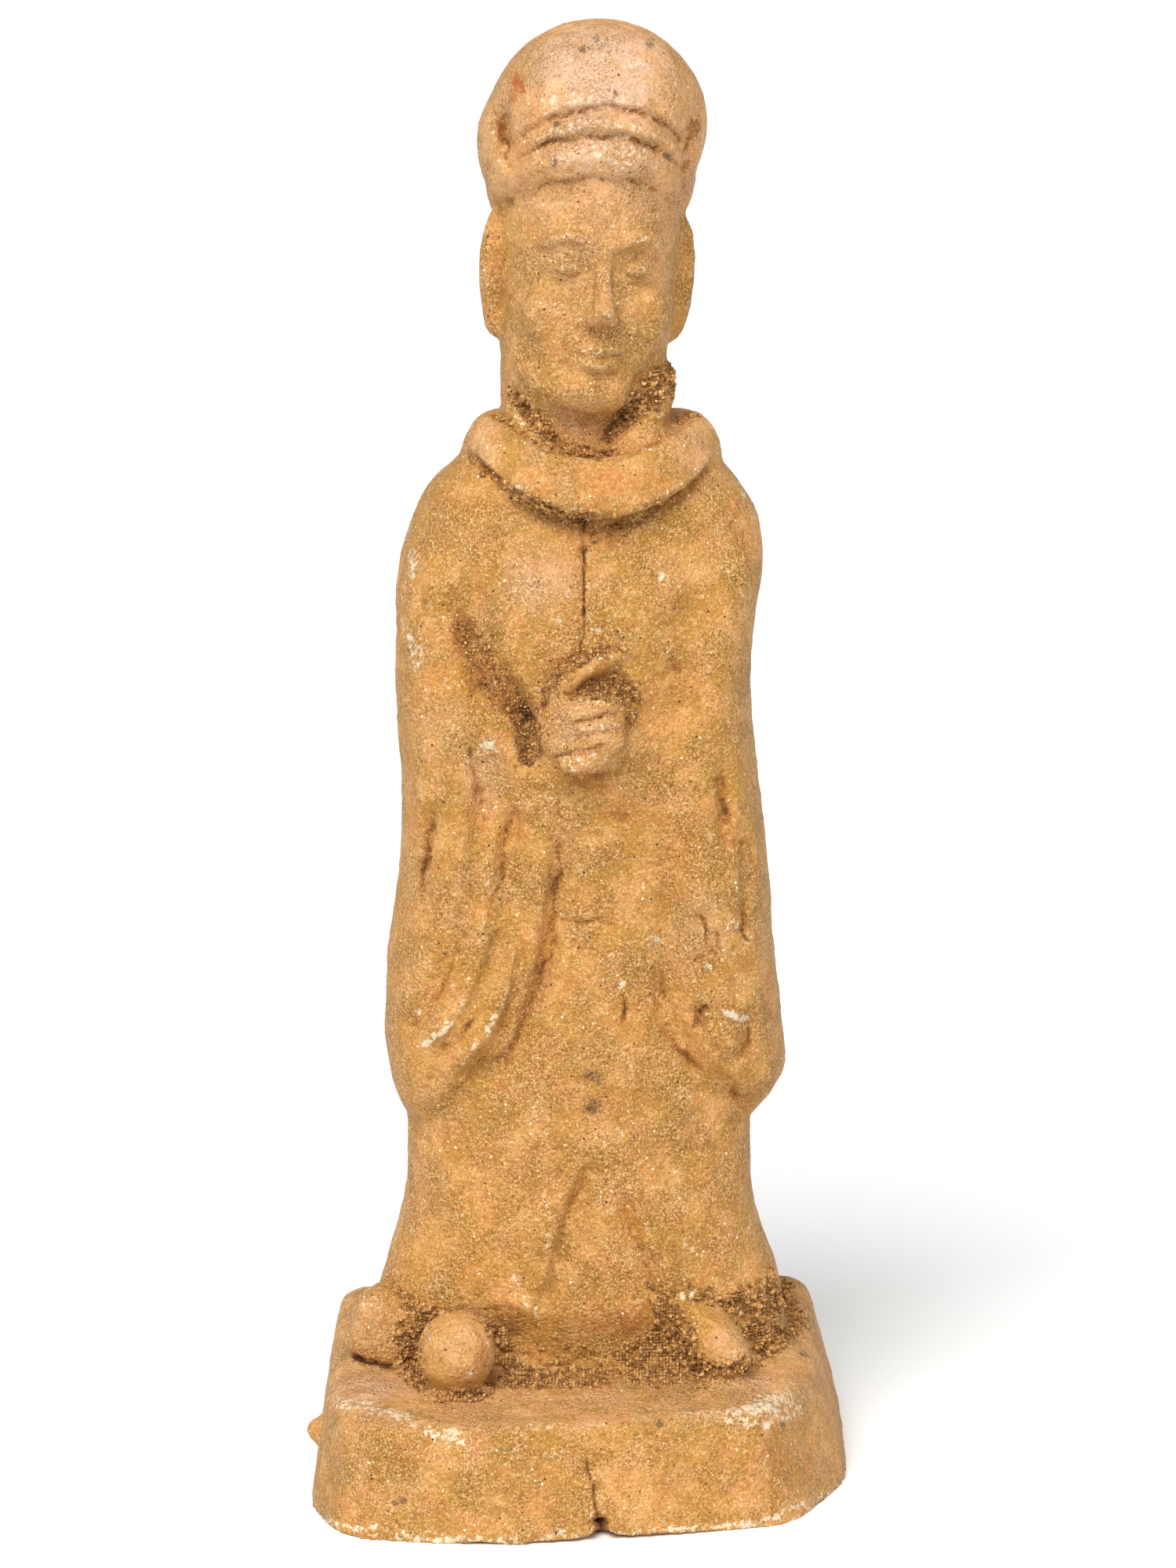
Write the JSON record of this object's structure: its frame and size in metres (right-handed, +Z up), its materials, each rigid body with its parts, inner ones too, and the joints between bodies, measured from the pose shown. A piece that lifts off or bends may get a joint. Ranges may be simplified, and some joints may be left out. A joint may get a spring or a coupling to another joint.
{
  "type": "terracotta figure",
  "caption": "Standing robed court figure of fired clay with its hands joined at the chest and a soft domed cap, on a low bow-fronted block.",
  "frame": {"origin": "centre of the bounding box at the flat underside of the block", "axes": "+Z up, the figure faces -Y, +X to the viewer's right"},
  "size_m": [0.0894, 0.0752, 0.2403],
  "materials": {
    "terracotta": "unglazed sandy buff clay, matt"
  },
  "bodies": {
    "root": {"court_figure": "terracotta"}
  },
  "joints": []
}
